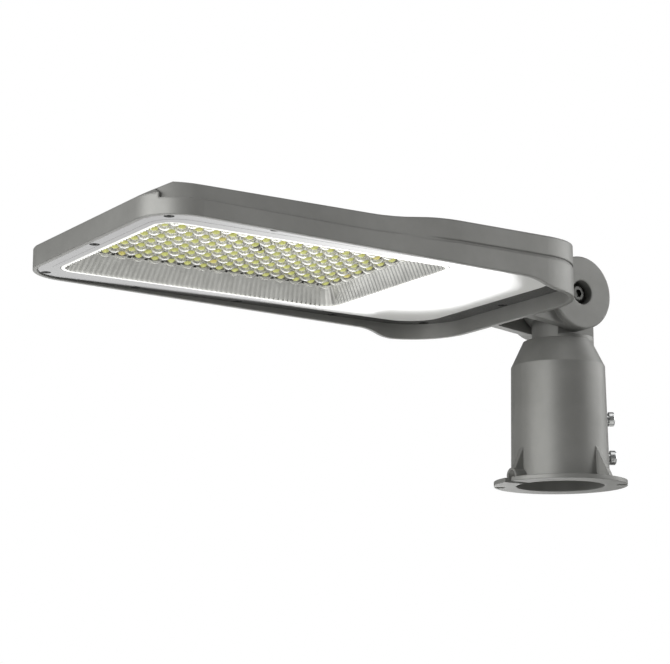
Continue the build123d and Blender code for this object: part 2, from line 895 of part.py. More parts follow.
def driver_case():
    """LED driver with its fixing ears, up against the roof of the bay."""
    half = driver_length / 2
    low = bay_ceiling - driver_height
    case = block(driver_rear, driver_front, driver_y - half, driver_y + half, low, bay_ceiling)
    case = fillet(case.edges().filter_by(Axis.Y), driver_round)
    for x, y in driver_screw_places():
        foot = bay_ceiling - driver_ear_thickness
        case += block(x - driver_ear, x + driver_ear, y - driver_ear / 2, y + driver_ear / 2, foot, bay_ceiling)
        case -= rod_z(foot - 1, bay_ceiling + 1, x, y, screw_radius + screw_hole_play)
    return case


def driver_screws():
    """Two screws that hold the driver."""
    under = bay_ceiling - driver_ear_thickness
    return Compound([roof_screw(x, y, under, bay_ceiling) for x, y in driver_screw_places()])


def terminal_block():
    """Supply terminal block with a wire hole for each lead."""
    low = bay_ceiling - terminal_height
    front = terminal_rear + terminal_width
    return block(terminal_rear, front, terminal_side, terminal_side + terminal_length, low, bay_ceiling)


def terminal_screws():
    """Clamp screws on the underside of the terminal block."""
    low = bay_ceiling - terminal_height
    x = terminal_rear + terminal_width / 2
    step = terminal_length / terminal_ways
    screws = []
    for index in range(terminal_ways):
        y = terminal_side + step * (index + 0.5)
        screws.append(rod_z(low - screw_head_height, low, x, y, screw_head_radius).solid())
    return Compound(screws)


def surge_protector():
    """Surge protector beside the driver."""
    rear = driver_front - surge_width
    low = bay_ceiling - surge_height
    body = block(rear, driver_front, gear_side, gear_side + surge_length, low, bay_ceiling)
    return fillet(body.edges().filter_by(Axis.Z), driver_round)


def earth_place():
    """Place of the earth screw, on the side of the bay away from the terminals."""
    return (terminal_rear, -earth_screw_offset)


def earth_screw():
    """Earth screw in the roof of the bay."""
    x, y = earth_place()
    return roof_screw(x, y, bay_ceiling, bay_ceiling)


def lead(points, height):
    """An insulated wire with rounded bends, level at one height."""
    route = Pos(0, 0, height) * FilletPolyline(*points, radius=lead_bend)
    section = Plane(origin=route @ 0, z_dir=route % 0) * Circle(lead_radius)
    return sweep(section, path=route).solid()


def mains_leads():
    """Wires from the cable gland to the terminal block."""
    wires = []
    for index in range(terminal_ways):
        y = (index - (terminal_ways - 1) / 2) * (2 * lead_radius + ear_play)
        x = terminal_rear + lead_lane + (terminal_ways - 1 - index) * lead_pitch
        wires.append(lead([(gland_tip, y), (x, y), (x, terminal_side)], gland_z))
    return Compound(wires)


def driver_leads():
    """Two wires from the terminal block to the end of the driver."""
    end = driver_y + driver_length / 2
    front = terminal_rear + terminal_width
    wires = []
    for index in range(2):
        x = driver_rear + lead_pitch * (index + 1)
        y = terminal_side + lead_pitch * (index + 1)
        wires.append(lead([(front, y), (x, y), (x, end)], wire_z))
    return Compound(wires)


def led_leads():
    """Two wires from the driver to the board connector."""
    front = array_rear - lens_reach - screw_hole_play - connector_width
    z = board_face - connector_height / 2
    lanes = (-lead_pitch / 2, lead_pitch / 2)
    return Compound([rod_x(driver_front, front, y, z, lead_radius).solid() for y in lanes])


# Cable gland and vent


def cable_gland():
    """Gland body through the rear wall, with a hex collar and a round cap outside."""
    collar = head_rear - gland_collar_length
    body = hex_x(collar, head_rear, 0, gland_z, gland_collar_width)
    body += rod_x(collar - gland_cap_length, collar, 0, gland_z, gland_cap_radius)
    body += rod_x(head_rear, gland_tip, 0, gland_z, gland_radius)
    body -= rod_x(collar - gland_cap_length - 1, gland_tip + 1, 0, gland_z, gland_hole_radius)
    return body - rod_x(collar - gland_cap_length - 1, seal_end(), 0, gland_z, gland_seal_radius)


def seal_end():
    """Inner end of the gland's rubber seal."""
    return head_rear - gland_collar_length - gland_cap_length + gland_seal_length


def gland_seal():
    """Rubber ring inside the gland, with a blind web where the cable is pushed through."""
    start = head_rear - gland_collar_length - gland_cap_length
    ring = rod_x(start, seal_end(), 0, gland_z, gland_seal_radius)
    return ring - rod_x(start - 1, seal_end() - lead_radius, 0, gland_z, gland_hole_radius)


def gland_nut():
    """Lock nut inside the rear wall."""
    inner = head_rear + bay_inset
    nut = hex_x(inner, inner + gland_nut_length, 0, gland_z, gland_nut_width)
    return nut - rod_x(inner - 1, inner + gland_nut_length + 1, 0, gland_z, gland_radius)


def breather_vent():
    """Pressure vent in the rear wall beside the ear."""
    z = pivot_z + vent_rise
    cap = rod_x(head_rear - vent_cap_length, head_rear, vent_offset, z, vent_cap_radius)
    cap = chamfer(cap.edges().sort_by(Axis.X)[0], vent_cap_length / 4)
    return cap + rod_x(head_rear, head_rear + bay_inset, vent_offset, z, vent_radius)


def lens_screw():
    """Screw in the middle of the array, through the lens plate and the board."""
    return roof_screw(array_centre, 0, lens_face, led_seat)


os.makedirs("parts", exist_ok=True)

pieces = {
    "pole_adapter": pole_adapter(),
    "friction_washers": friction_washers(),
    "pivot_bolt": pivot_bolt(),
    "pivot_washers": pivot_washers(),
    "pivot_nut": pivot_nut(),
    "housing": housing(),
    "bottom_cover": bottom_cover(),
    "cover_panel": cover_panel(),
    "cover_gasket": cover_gasket(),
    "cover_screws": cover_screws(),
    "reflector_frame": reflector_frame(),
    "lens_gasket": lens_gasket(),
    "lens_array": lens_array(),
    "lens_screw": lens_screw(),
    "led_board": led_board(),
    "led_chips": led_chips(),
    "board_screws": board_screws(),
    "led_connector": led_connector(),
    "driver_case": driver_case(),
    "driver_screws": driver_screws(),
    "terminal_block": terminal_block(),
    "terminal_screws": terminal_screws(),
    "surge_protector": surge_protector(),
    "earth_screw": earth_screw(),
    "mains_leads": mains_leads(),
    "driver_leads": driver_leads(),
    "led_leads": led_leads(),
    "cable_gland": cable_gland(),
    "gland_seal": gland_seal(),
    "gland_nut": gland_nut(),
    "breather_vent": breather_vent(),
}
set_screw_number = 0
for bearing in set_screw_bearings:
    for height in set_screw_heights:
        set_screw_number += 1
        pieces[f"set_screw_{set_screw_number}"] = set_screw(bearing, height)

for node, shape in pieces.items():
    save(node, shape)
    print(node, round(shape.volume / 1000, 2), "cm3")
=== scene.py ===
# %% [markdown]
# # An LED street light on a tilting pole adapter
#
# The CAD model gives every piece its place and size. This lesson dresses it: it sets up a camera
# and a white studio, makes one material for each real finish, and remakes the few pieces whose
# fine detail is too small for the CAD model, such as the fluted frame round the LED window.

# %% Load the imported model
import math

import bpy
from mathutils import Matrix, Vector


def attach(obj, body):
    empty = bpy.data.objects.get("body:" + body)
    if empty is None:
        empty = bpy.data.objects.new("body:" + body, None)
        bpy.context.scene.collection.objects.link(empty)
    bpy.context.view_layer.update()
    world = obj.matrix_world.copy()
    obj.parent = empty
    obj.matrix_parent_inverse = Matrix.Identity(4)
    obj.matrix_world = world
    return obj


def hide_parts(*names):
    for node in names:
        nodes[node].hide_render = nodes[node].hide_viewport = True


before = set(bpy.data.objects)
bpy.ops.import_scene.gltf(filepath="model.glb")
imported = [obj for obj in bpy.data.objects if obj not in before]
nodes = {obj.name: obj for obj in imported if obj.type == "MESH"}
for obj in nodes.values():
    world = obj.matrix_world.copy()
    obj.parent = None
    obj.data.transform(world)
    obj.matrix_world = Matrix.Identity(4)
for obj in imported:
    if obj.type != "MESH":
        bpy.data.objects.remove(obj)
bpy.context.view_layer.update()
MM = 0.001

# %% [markdown]
# ## The camera
# The light is seen from below and in front, as it would be from the pavement. The viewpoint was
# worked out from the spacing of the LEDs: the lens is long, and the camera stands about 1.3 metres
# from the head.

# %% Camera
CAMERA_PLACE = Vector((0.8665, 1.0397, -0.1697))
CAMERA_BEARING = 146.8
CAMERA_PITCH = 11.7
CAMERA_LENS = 105.15

bearing = math.radians(CAMERA_BEARING)
pitch = math.radians(CAMERA_PITCH)
looking = Vector(
    (-math.sin(bearing) * math.cos(pitch), math.cos(bearing) * math.cos(pitch), math.sin(pitch))
)
camera = bpy.data.objects.new("camera", bpy.data.cameras.new("camera"))
bpy.context.scene.collection.objects.link(camera)
camera.location = CAMERA_PLACE
camera.rotation_mode = "QUATERNION"
camera.rotation_quaternion = looking.to_track_quat("-Z", "Y")
camera.data.lens = CAMERA_LENS
camera.data.sensor_width = 36
camera.data.clip_start = 0.05
camera.data.clip_end = 60
bpy.context.scene.camera = camera
bpy.context.scene.view_settings.view_transform = "Standard"
print("camera looks along", [round(v, 3) for v in looking])

# %% [markdown]
# ## Colours and nodes
# Colours are written as the hex values a paint program shows. Shaders need linear light, so one
# function converts them. A second one adds a shader node with its settings and links, because
# every material below is a short list of such nodes.

# %% Colour and node helpers
def linear(hex_colour):
    """An sRGB hex colour as linear RGBA."""
    parts = [int(hex_colour[i : i + 2], 16) / 255 for i in (1, 3, 5)]
    light = [c / 12.92 if c <= 0.04045 else ((c + 0.055) / 1.055) ** 2.4 for c in parts]
    return (*light, 1.0)


def add(tree, kind, inputs=None, stops=None, **settings):
    """Add one node. An input is a value, or a pair of a node and the name of its output."""
    node = tree.nodes.new(kind)
    for name, value in settings.items():
        setattr(node, name, value)
    for name, value in (inputs or {}).items():
        if isinstance(value, tuple) and isinstance(value[0], bpy.types.Node):
            tree.links.new(value[0].outputs[value[1]], node.inputs[name])
        else:
            node.inputs[name].default_value = value
    if stops:
        elements = node.color_ramp.elements
        while len(elements) < len(stops):
            elements.new(0.5)
        for element, (position, colour) in zip(elements, stops):
            element.position = position
            element.color = linear(colour) if isinstance(colour, str) else (colour,) * 3 + (1,)
    return node


def start(name, **constants):
    """A new material with its shader's constant values set, and its object coordinates."""
    material = bpy.data.materials.new(name)
    material.use_nodes = True
    tree = material.node_tree
    shader = tree.nodes["Principled BSDF"]
    for socket, value in constants.items():
        shader.inputs[socket.replace("_", " ")].default_value = value
    place = add(tree, "ShaderNodeTexCoord")
    return material, tree, shader, place


def per_metre(size_mm):
    """The texture scale that gives a pattern of this size."""
    return 1 / (size_mm * MM)


print("helpers ready")

# %% [markdown]
# ## Powder-coated castings
# The head and the pole adapter are die-cast aluminium with a baked grey polyester powder coat. A
# little metal flake in it gives curved faces a soft silvery band. The powder melts into a satin
# skin with a fine orange peel, about half a millimetre across. It is drawn at a little over a
# millimetre, so that it shows at all. Noise through a bump node is enough for that, and a bevel
# node softens the hard CAD edges as the thick coat does.

# %% Powder coat
MOTTLE_MM = 38
PEEL_DEPTH_MM = 0.1


def powder_coat(name, dark, light, rough, edge_mm, peel_mm=1.1, peel=0.1, flake=0.45):
    """Satin powder coat with metal flake, orange peel, faint mottling and softened edges."""
    material, tree, shader, place = start(name, IOR=1.5, Metallic=flake)
    cloud = add(
        tree,
        "ShaderNodeTexNoise",
        {
            "Vector": (place, "Object"),
            "Scale": per_metre(MOTTLE_MM),
            "Detail": 4.0,
            "Roughness": 0.6,
        },
    )
    tint = add(
        tree,
        "ShaderNodeValToRGB",
        {"Fac": (cloud, "Fac")},
        stops=[(0.3, dark), (0.72, light)],
    )
    tree.links.new(tint.outputs["Color"], shader.inputs["Base Color"])
    speck = add(
        tree,
        "ShaderNodeTexNoise",
        {"Vector": (place, "Object"), "Scale": per_metre(peel_mm), "Detail": 2.0},
    )
    shine = add(
        tree,
        "ShaderNodeMapRange",
        {"Value": (speck, "Fac"), "To Min": rough - 0.05, "To Max": rough + 0.06},
    )
    tree.links.new(shine.outputs["Result"], shader.inputs["Roughness"])
    soft_edge = add(tree, "ShaderNodeBevel", {"Radius": edge_mm * MM}, samples=4)
    bump = add(
        tree,
        "ShaderNodeBump",
        {
            "Height": (speck, "Fac"),
            "Normal": (soft_edge, "Normal"),
            "Strength": peel,
            "Distance": PEEL_DEPTH_MM * MM,
        },
    )
    tree.links.new(bump.outputs["Normal"], shader.inputs["Normal"])
    return material


HEAD_COAT = powder_coat("powder_coated_cast_aluminium", "#7C7C79", "#888885", 0.52, 1.6)
ADAPTER_COAT = powder_coat("powder_coated_cast_adapter", "#7A7A77", "#868683", 0.5, 1.0)
print("castings:", HEAD_COAT.name, ADAPTER_COAT.name)

# %% [markdown]
# ## Bottom cover and its panel
# The cover is a stamped sheet with a much glossier coat than the castings, and so is the panel on
# it. Seen from a low angle such a coat is nearly a mirror: it shows the bright card behind the part
# and the dark skirt along its edge. A clear coat over a dark grey base does that, and a very slight
# waviness keeps it from looking like glass. The panel's colour also holds a painted reflection: it
# is light under the gear bay and turns to dark grey beside the window, following the position
# along the head. Setting that in the colour is a guess: a real panel may well be one colour.

# %% Cover and panel finishes
WAVE_DEPTH_MM = 0.2
# The panel's painted reflection is light up to the first X in metres, dark grey from the second.
BAY_END, WINDOW_SIDE = 0.14, 0.2


def gloss_sheet(name, wave_mm, stops, along_head=False):
    """A glossy sheet, slightly wavy. Its tint is mottled, or a painted reflection along the head.
    """
    material, tree, shader, place = start(
        name,
        IOR=1.5,
        Specular_IOR_Level=0.0,
        Roughness=0.5,
        Coat_Weight=1.0,
        Coat_IOR=1.6,
        Coat_Roughness=0.16,
    )
    cloud = add(
        tree,
        "ShaderNodeTexNoise",
        {"Vector": (place, "Object"), "Scale": per_metre(wave_mm), "Detail": 3.0},
    )
    source = (cloud, "Fac")
    if along_head:
        source = (add(tree, "ShaderNodeSeparateXYZ", {"Vector": (place, "Object")}), "X")
    tint = add(tree, "ShaderNodeValToRGB", {"Fac": source}, stops=stops)
    tree.links.new(tint.outputs["Color"], shader.inputs["Base Color"])
    bump = add(
        tree,
        "ShaderNodeBump",
        {"Height": (cloud, "Fac"), "Strength": 0.05, "Distance": WAVE_DEPTH_MM * MM},
    )
    tree.links.new(bump.outputs["Normal"], shader.inputs["Normal"])
    return material


COVER_COAT = gloss_sheet("gloss_coated_aluminium_sheet", 60, [(0.3, "#2B2B2A"), (0.7, "#343433")])
# The panel's tint along the head is a painted reflection of the card's white under the gear bay.
PANEL_PAINTED_REFLECTION = gloss_sheet(
    "gloss_panel_painted_reflection", 90, [(BAY_END, "#E0E0DE"), (WINDOW_SIDE, "#323231")], along_head=True
)
print("cover finishes:", COVER_COAT.name, PANEL_PAINTED_REFLECTION.name)

# %% [markdown]
# ## Metallised frame, clear lens and LED board
# The frame round the window is moulded plastic with a vacuum-deposited aluminium film, bright
# but not quite a mirror. The lens plate is clear acrylic with a slight haze, so it needs real
# refraction. The board behind it is a solder mask drawn a pale warm grey, and the LEDs are
# ceramic with a dome of yellow phosphor gel. The gel is given a faint painted glow, an emission
# in its own yellow.

# %% Metallised plastic
FILM_CLOUD_MM = 9


def metallised(name, dark, light, rough):
    """Bright aluminium film on moulded plastic."""
    material, tree, shader, place = start(name, Metallic=1.0)
    cloud = add(
        tree,
        "ShaderNodeTexNoise",
        {"Vector": (place, "Object"), "Scale": per_metre(FILM_CLOUD_MM), "Detail": 3.0},
    )
    tint = add(
        tree,
        "ShaderNodeValToRGB",
        {"Fac": (cloud, "Fac")},
        stops=[(0.3, dark), (0.7, light)],
    )
    tree.links.new(tint.outputs["Color"], shader.inputs["Base Color"])
    shine = add(
        tree,
        "ShaderNodeMapRange",
        {"Value": (cloud, "Fac"), "To Min": rough - 0.05, "To Max": rough + 0.05},
    )
    tree.links.new(shine.outputs["Result"], shader.inputs["Roughness"])
    return material


SILVER_FILM = metallised("metallised_plastic", "#CFCFCB", "#E2E2DE", 0.24)
print("frame finish:", SILVER_FILM.name)

# %% Clear acrylic
HAZE_MM = 14
ACRYLIC, tree, shader, place = start(
    "clear_acrylic", IOR=1.49, Transmission_Weight=1.0, Base_Color=linear("#FBFBF8")
)
haze = add(
    tree,
    "ShaderNodeTexNoise",
    {"Vector": (place, "Object"), "Scale": per_metre(HAZE_MM), "Detail": 2.0},
)
clearness = add(
    tree,
    "ShaderNodeMapRange",
    {"Value": (haze, "Fac"), "To Min": 0.1, "To Max": 0.22},
)
tree.links.new(clearness.outputs["Result"], shader.inputs["Roughness"])
print("lens:", ACRYLIC.name)

# %% Board and LED packages
TRACE_MM, CERAMIC_GRAIN_MM = 26.6, 0.8
BOARD_MASK, tree, shader, place = start("pale_solder_mask", IOR=1.5, Roughness=0.35)
traces = add(
    tree,
    "ShaderNodeTexBrick",
    {
        "Vector": (place, "Object"),
        "Color1": linear("#B7AFAB"),
        "Color2": linear("#AFA7A3"),
        "Mortar": linear("#9C9490"),
        "Scale": per_metre(TRACE_MM),
        "Mortar Size": 0.012,
    },
)
tree.links.new(traces.outputs["Color"], shader.inputs["Base Color"])

CERAMIC, tree, shader, place = start("pale_led_ceramic", IOR=1.6, Roughness=0.4)
grain = add(
    tree,
    "ShaderNodeTexNoise",
    {"Vector": (place, "Object"), "Scale": per_metre(CERAMIC_GRAIN_MM)},
)
tint = add(
    tree, "ShaderNodeValToRGB", {"Fac": (grain, "Fac")}, stops=[(0.3, "#C4BFBA"), (0.7, "#D2CEC9")]
)
tree.links.new(tint.outputs["Color"], shader.inputs["Base Color"])

# The gel's emission is a painted glow in its own yellow, which brightens the chips.
PHOSPHOR_PAINTED_GLOW, tree, shader, place = start(
    "yellow_phosphor_painted_glow", IOR=1.45, Roughness=0.3, Emission_Strength=0.4
)
batch = add(tree, "ShaderNodeAttribute", attribute_name="phosphor_batch")
tint = add(
    tree,
    "ShaderNodeValToRGB",
    {"Fac": (batch, "Fac")},
    stops=[(0.0, "#D8DA7C"), (0.3, "#DFDC80"), (0.6, "#E6CB6A"), (1.0, "#E3A550")],
)
tree.links.new(tint.outputs["Color"], shader.inputs["Base Color"])
tree.links.new(tint.outputs["Color"], shader.inputs["Emission Color"])
print("LED finishes:", BOARD_MASK.name, CERAMIC.name, PHOSPHOR_PAINTED_GLOW.name)

# %% [markdown]
# ## Steel, rubber and moulded plastics
# Small parts share a few finishes. Turned and plated steel shine a little unevenly, drawn as a
# fine noise in the colour and the roughness. Rubber, nylon and black oxide are dark and dull,
# with a fine grain.

# %% Steel
STEEL_EDGE_MM = 0.25


def steel(name, dark, light, rough, grain_mm):
    """Machined or plated steel, or bare aluminium, with a fine uneven shine."""
    material, tree, shader, place = start(name, Metallic=1.0)
    grain = add(
        tree,
        "ShaderNodeTexNoise",
        {"Vector": (place, "Object"), "Scale": per_metre(grain_mm), "Detail": 4.0},
    )
    tint = add(
        tree, "ShaderNodeValToRGB", {"Fac": (grain, "Fac")}, stops=[(0.3, dark), (0.7, light)]
    )
    tree.links.new(tint.outputs["Color"], shader.inputs["Base Color"])
    shine = add(
        tree,
        "ShaderNodeMapRange",
        {"Value": (grain, "Fac"), "To Min": rough - 0.08, "To Max": rough + 0.1},
    )
    tree.links.new(shine.outputs["Result"], shader.inputs["Roughness"])
    soft_edge = add(tree, "ShaderNodeBevel", {"Radius": STEEL_EDGE_MM * MM}, samples=4)
    tree.links.new(soft_edge.outputs["Normal"], shader.inputs["Normal"])
    return material


STAINLESS = steel("turned_stainless_steel", "#A9A9A6", "#CFCFCC", 0.28, 1.2)
# Pivot parts: burnished steel, drawn dark partly as painted shade of their deep counterbores.
BURNISHED_AND_SHADED = steel("burnished_steel_painted_shade", "#3C3C3B", "#545452", 0.32, 1.2)
ZINC = steel("zinc_plated_steel", "#C6C7C7", "#E6E7E6", 0.28, 1.6)
print("steels:", STAINLESS.name, BURNISHED_AND_SHADED.name, ZINC.name)

# %% Plastics, rubber and black oxide
GRAIN_DEPTH_MM = 0.1


def dull(name, dark, light, rough, grain_mm):
    """Moulded plastic, rubber or an oxide skin, with a fine grain."""
    material, tree, shader, place = start(name, IOR=1.5)
    grain = add(
        tree,
        "ShaderNodeTexNoise",
        {"Vector": (place, "Object"), "Scale": per_metre(grain_mm), "Detail": 3.0},
    )
    tint = add(
        tree, "ShaderNodeValToRGB", {"Fac": (grain, "Fac")}, stops=[(0.3, dark), (0.7, light)]
    )
    tree.links.new(tint.outputs["Color"], shader.inputs["Base Color"])
    shine = add(
        tree,
        "ShaderNodeMapRange",
        {"Value": (grain, "Fac"), "To Min": rough - 0.06, "To Max": rough + 0.06},
    )
    tree.links.new(shine.outputs["Result"], shader.inputs["Roughness"])
    bump = add(
        tree,
        "ShaderNodeBump",
        {"Height": (grain, "Fac"), "Strength": 0.15, "Distance": GRAIN_DEPTH_MM * MM},
    )
    tree.links.new(bump.outputs["Normal"], shader.inputs["Normal"])
    return material


SILICONE = dull("black_silicone_rubber", "#121212", "#1D1D1D", 0.6, 1.5)
BLACK_OXIDE = dull("black_oxide_steel", "#0C0C0C", "#171717", 0.6, 1.0)
NYLON = dull("black_nylon", "#161616", "#222222", 0.45, 1.2)
WHITE_NYLON = dull("white_nylon", "#DEDCD4", "#EAE8E1", 0.4, 1.2)
ABS = dull("dark_grey_abs", "#2B2C2E", "#36373A", 0.5, 1.0)
FIBRE = dull("pressed_fibre", "#2A2622", "#3A352F", 0.75, 0.7)
PVC = dull("brown_pvc_insulation", "#4A2C1C", "#5B3824", 0.4, 2.0)
GEAR_CASE = steel("mill_finish_aluminium", "#B4B5B6", "#CCCDCE", 0.38, 3.0)
print("plastics:", SILICONE.name, NYLON.name, WHITE_NYLON.name, ABS.name, FIBRE.name, PVC.name)

# %% [markdown]
# ## Dress the CAD nodes
# Most pieces keep their CAD mesh. Each gets its finish, and smooth shading that stops at edges
# sharper than thirty degrees, so turned faces look round and flat ones stay flat.

# %% Assign finishes
SMOOTH_BELOW = 30
finishes = {
    HEAD_COAT: ["housing"],
    ADAPTER_COAT: ["pole_adapter"],
    COVER_COAT: ["bottom_cover"],
    PANEL_PAINTED_REFLECTION: ["cover_panel"],
    SILVER_FILM: ["reflector_frame"],
    ACRYLIC: ["lens_array"],
    BOARD_MASK: ["led_board"],
    PHOSPHOR_PAINTED_GLOW: ["led_chips"],
    STAINLESS: ["board_screws"],
    BURNISHED_AND_SHADED: ["pivot_bolt", "pivot_washers", "pivot_nut"],
    ZINC: ["set_screw_1", "set_screw_2", "set_screw_3", "set_screw_4"],
    BLACK_OXIDE: ["cover_screws", "lens_screw"],
    SILICONE: ["cover_gasket", "lens_gasket", "gland_seal"],
    NYLON: ["cable_gland", "gland_nut", "breather_vent"],
    WHITE_NYLON: ["terminal_block", "led_connector"],
    ABS: ["surge_protector"],
    FIBRE: ["friction_washers"],
    PVC: ["mains_leads", "driver_leads", "led_leads"],
    GEAR_CASE: ["driver_case"],
}
finishes[ZINC] += ["driver_screws", "terminal_screws", "earth_screw"]
for finish, names in finishes.items():
    for name in names:
        mesh = nodes[name].data
        mesh.materials.clear()
        mesh.materials.append(finish)
        mesh.polygons.foreach_set("use_smooth", [True] * len(mesh.polygons))
        mesh.set_sharp_from_angle(angle=math.radians(SMOOTH_BELOW))
print("dressed", sum(len(names) for names in finishes.values()), "of", len(nodes), "nodes")

# %% [markdown]
# ## Making new meshes
# The remade pieces are rings of points joined by quads, or many small copies of one shape. This
# helper turns points and faces in millimetres into an object, hides the CAD node it stands for,
# and lets it ride on the same body.

# %% Mesh helper
def piece(
    name, points, faces, materials, node, face_material=None, smooth_below=SMOOTH_BELOW
):
    """A mesh piece on the tilting head that stands for one CAD node."""
    mesh = bpy.data.meshes.new(name)
    mesh.from_pydata([Vector(p) * MM for p in points], [], faces)
    for material in materials:
        mesh.materials.append(material)
    if face_material:
        mesh.polygons.foreach_set("material_index", face_material)
    mesh.polygons.foreach_set("use_smooth", [True] * len(mesh.polygons))
    mesh.set_sharp_from_angle(angle=math.radians(smooth_below))
    mesh.update()
    made = bpy.data.objects.new(name, mesh)
    bpy.context.scene.collection.objects.link(made)
    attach(made, "head")
    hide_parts(node)
    print(name, len(points), "points", len(faces), "faces")
    return made


# %% [markdown]
# ## The fluted frame
# Four sloping walls lead from the window's edge up to the lens plate. On the real frame they are
# moulded with fine upright flutes, a little under four millimetres apart, that spread the light
# and end in a scalloped edge. The frame is a closed band: rings of points run round the window,
# and each ring knows how far every point is along its flute, so the flutes can be pressed into
# the wall.

# %% Rings round the window
FLUTES_LONG, FLUTES_SHORT, FLUTES_CORNER = 50, 33, 4
STEPS = 6


def window_ring(rear, front, half, corner, rear_corner=None):
    """Points round a rounded rectangle, each with its outward direction, always the same count."""
    places = [(front, half, 0), (rear, half, 90), (rear, -half, 180), (front, -half, 270)]
    flutes = [FLUTES_LONG, FLUTES_SHORT, FLUTES_LONG, FLUTES_SHORT]
    ring = []
    arcs = []
    for x, y, turn in places:
        bend = rear_corner if rear_corner and x == rear else corner
        cx = x - math.copysign(bend, x - (rear + front) / 2)
        cy = y - math.copysign(bend, y)
        arc = []
        for step in range(FLUTES_CORNER * STEPS + 1):
            angle = math.radians(turn + 90 * step / (FLUTES_CORNER * STEPS))
            out = Vector((math.cos(angle), math.sin(angle)))
            arc.append((Vector((cx, cy)) + out * bend, out))
        arcs.append(arc)
    for index, arc in enumerate(arcs):
        ring += arc[:-1]
        first, out = arc[-1]
        last = arcs[(index + 1) % 4][0][0]
        count = flutes[index] * STEPS
        ring += [(first.lerp(last, step / count), out) for step in range(count)]
    return ring


# %% Frame mesh
WINDOW = (140.7, 352.4, 73.5, 13.0)
LENS_OPENING = (149.4, 340.6, 65.45, 6.0)
FRAME_LOW, FRAME_HIGH, FLANGE_LOW, FLANGE_HIGH = 121.8, 134.9, 124.0, 125.5
LIP, FRAME_WALL, FRAME_PLAY, FLANGE = 3.2, 1.25, 0.25, 2.0
LONG_FLUTE, SHORT_FLUTE, SCALLOP = 0.1, 0.35, 0.8
LIP_CHAMFER, SCALLOP_CHAMFER, SCALLOP_EDGE = 0.3, 0.15, 0.2
FLUTE_START, FLUTE_END, FLUTE_FADE = 1.6, 0.8, 0.3


def grown(outline, by):
    """A window outline grown on every side."""
    rear, front, half, corner = outline
    return (rear - by, front + by, half + by, corner + by)


def wall_ring(outward, z, long_depth=0.0, short_depth=0.0):
    """A ring of the sloping wall at one height, pressed outward by its flutes."""
    low = window_ring(*grown(WINDOW, outward - LIP))
    high = window_ring(*grown(LENS_OPENING, outward))
    share = (z - FRAME_LOW) / (FRAME_HIGH - FRAME_LOW)
    points = []
    for index, ((a, out), (b, _)) in enumerate(zip(low, high)):
        depth = long_depth + (short_depth - long_depth) * out.x**2
        wave = depth * (0.5 - 0.5 * math.cos(2 * math.pi * (index % STEPS) / STEPS))
        flat = a.lerp(b, share) + out * wave
        points.append((flat.x, flat.y, z))
    return points


def level_ring(by, z):
    """A plain ring at a distance outside the window's edge."""
    return [(p.x, p.y, z) for p, _ in window_ring(*grown(WINDOW, by))]


rings = [
    level_ring(-FRAME_PLAY, FRAME_LOW + LIP_CHAMFER),
    level_ring(-FRAME_PLAY - LIP_CHAMFER, FRAME_LOW),
    wall_ring(SCALLOP_CHAMFER, FRAME_LOW, SCALLOP, SCALLOP),
    wall_ring(0, FRAME_LOW + SCALLOP_EDGE, SCALLOP, SCALLOP),
    wall_ring(0, FRAME_LOW + FLUTE_START, LONG_FLUTE, SHORT_FLUTE),
    wall_ring(0, FRAME_HIGH - FLUTE_END, LONG_FLUTE, SHORT_FLUTE),
    wall_ring(0, FRAME_HIGH - FLUTE_FADE),
    wall_ring(0, FRAME_HIGH),
    wall_ring(FRAME_WALL, FRAME_HIGH),
    wall_ring(FRAME_WALL, FLANGE_HIGH),
    level_ring(FLANGE, FLANGE_HIGH),
    level_ring(FLANGE, FLANGE_LOW),
    level_ring(-FRAME_PLAY, FLANGE_LOW),
]


def closed_band(rings):
    """Points and faces of a band whose last ring joins its first."""
    around = len(rings[0])
    points = [p for ring in rings for p in ring]
    faces = []
    for row in range(len(rings)):
        below, above = row * around, (row + 1) % len(rings) * around
        for step in range(around):
            after = (step + 1) % around
            faces.append((below + step, above + step, above + after, below + after))
    return points, faces


points, faces = closed_band(rings)
FLUTES_SMOOTH_BELOW = 40
piece(
    "fluted_frame",
    points,
    faces,
    [SILVER_FILM],
    "reflector_frame",
    smooth_below=FLUTES_SMOOTH_BELOW,
)

# %% [markdown]
# ## The gloss panel
# The panel round the window is bonded flat to the cover, and its edge hardly shows. Here it is a
# film a few hundredths of a millimetre thick, so that the mirror-like cover beside it doesn't
# pick up a dark line.

# %% Panel mesh
COVER_FACE, PANEL_FILM = 122.0, 0.06
PANEL = (60.3, 356.6, 81.5, 20.0, 26.0)
outer = [p for p, _ in window_ring(*PANEL)]
inner = [p for p, _ in window_ring(*WINDOW)]
film_low = COVER_FACE - PANEL_FILM
rings = [
    [(p.x, p.y, film_low) for p in outer],
    [(p.x, p.y, film_low) for p in inner],
    [(p.x, p.y, COVER_FACE) for p in inner],
    [(p.x, p.y, COVER_FACE) for p in outer],
]
points, faces = closed_band(rings)
piece("gloss_panel", points, faces, [PANEL_PAINTED_REFLECTION], "cover_panel")

# %% [markdown]
# ## The LED packages
# Each LED is a five-millimetre ceramic package with a dome of yellow phosphor gel on it. All of
# them are one mesh. A number stored on each face says which batch the phosphor came from, so a few
# chips are a little more amber than the rest, as in any real batch. Raising the number to a high
# power keeps those few.

# %% LED mesh
COLUMNS, ROWS, PITCH_X, PITCH_Y = 16, 10, 12.0, 13.3
ARRAY_REAR, ARRAY_HALF = 155.0, 59.85
BOARD_FACE, CHIP_FACE = 137.4, 136.7
LED_HALF, GEL_RADIUS, GEL_HEIGHT = 2.5, 2.7, 2.4
GEL_SIDES, GEL_RINGS = 16, 4
BATCHES, AMBER_POWER = 23, 20
SQUARE = [(1, 1), (-1, 1), (-1, -1), (1, -1)]

led_places = []
for column in range(COLUMNS):
    for row in range(ROWS):
        led_places.append((ARRAY_REAR + column * PITCH_X, row * PITCH_Y - ARRAY_HALF))

